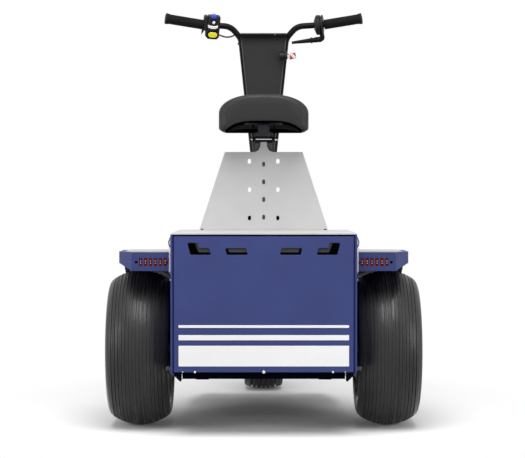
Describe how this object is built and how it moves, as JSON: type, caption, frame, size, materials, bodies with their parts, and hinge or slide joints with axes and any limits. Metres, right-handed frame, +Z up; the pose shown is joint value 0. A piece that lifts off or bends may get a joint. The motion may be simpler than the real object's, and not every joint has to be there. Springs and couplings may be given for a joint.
{
  "type": "electric tow tractor",
  "caption": "Ride-on electric tow tractor: three wheels, sheet-metal rear box, seat tower, raked steering column with handlebar.",
  "frame": {"origin": "on the floor under the middle of the machine's box, without its cord", "axes": "+X to the rider's right, +Y forward in the driving direction, +Z up"},
  "size_m": [0.909, 1.365, 1.2853],
  "materials": {
    "tyre_rubber": "ribbed moulded rubber",
    "rim_steel": "silver painted pressed steel",
    "blue_paint": "powder coat, blue",
    "blue_panel": "powder coat, blue, with white stripes",
    "grey_paint": "powder coat, light grey",
    "navy_frame": "powder coat, very dark blue",
    "black_paint": "satin black",
    "battery_case": "moulded case",
    "drive_castings": "painted castings",
    "zinc_steel": "zinc plated",
    "chrome": "bright plating",
    "mat_rubber": "ribbed rubber mat",
    "grip_rubber": "ribbed rubber",
    "seat_skin": "moulded vinyl skin",
    "casting_grey": "dark grey casting",
    "panel_dark": "dark textured panel",
    "column_paint": "satin black powder coat",
    "lip_grey": "dark grey powder coat",
    "control_plastic": "moulded plastic",
    "lamp_red": "red lamp plastic",
    "tag_plastic": "red and white tag",
    "cable_jacket": "thin cable jacket"
  },
  "bodies": {
    "chassis": {"body_side_right": "blue_paint", "body_side_left": "blue_paint", "rear_panel": "blue_panel", "front_panel": "blue_paint", "top_lid": "grey_paint", "bottom_pan": "navy_frame", "battery_block": "battery_case", "rear_transaxle": "drive_castings", "corner_brackets": "navy_frame", "chassis_frame": "navy_frame", "footboard": "navy_frame", "footboard_mat": "mat_rubber", "fender_right": "blue_paint", "fender_left": "blue_paint", "upstand_right": "grey_paint", "upstand_left": "grey_paint", "lamp_lens_right": "lamp_red", "lamp_lens_left": "lamp_red", "seat_tower": "grey_paint", "tower_post": "grey_paint", "seat_casting": "casting_grey", "seat_bracket": "navy_frame", "seat_bolt": "chrome", "seat_pad": "seat_skin"},
    "steering": {"fork": "navy_frame", "front_axle": "zinc_steel", "column_tubes": "column_paint", "column_panel": "panel_dark", "column_lips": "lip_grey", "top_console": "black_paint", "grip_right": "grip_rubber", "grip_left": "grip_rubber", "front_mudguard": "blue_paint", "switch_cluster": "control_plastic", "lever_housing": "control_plastic", "hand_lever": "black_paint", "key_switch": "control_plastic", "key_tag": "tag_plastic", "switch_cable": "cable_jacket"},
    "front_wheel": {"front_tyre": "tyre_rubber", "front_rim": "rim_steel"},
    "rear_wheel_left": {"rear_tyre_left": "tyre_rubber", "rear_rim_left": "rim_steel"},
    "rear_wheel_right": {"rear_tyre_right": "tyre_rubber", "rear_rim_right": "rim_steel"}
  },
  "joints": [
    {"name": "steering_turn", "type": "hinge", "parent": "chassis", "child": "steering", "pos_m": [0, 0.40725, 0.54951], "axis": [0, -0.2756, 0.9613], "range_deg": [-45, 45]},
    {"name": "front_wheel_spin", "type": "hinge", "parent": "steering", "child": "front_wheel", "pos_m": [0, 0.5175, 0.165], "axis": [1, 0, 0], "continuous": true},
    {"name": "rear_wheel_left_spin", "type": "hinge", "parent": "chassis", "child": "rear_wheel_left", "pos_m": [-0.3635, -0.3825, 0.2285], "axis": [1, 0, 0], "continuous": true},
    {"name": "rear_wheel_right_spin", "type": "hinge", "parent": "chassis", "child": "rear_wheel_right", "pos_m": [0.3635, -0.3825, 0.2285], "axis": [1, 0, 0], "continuous": true}
  ]
}
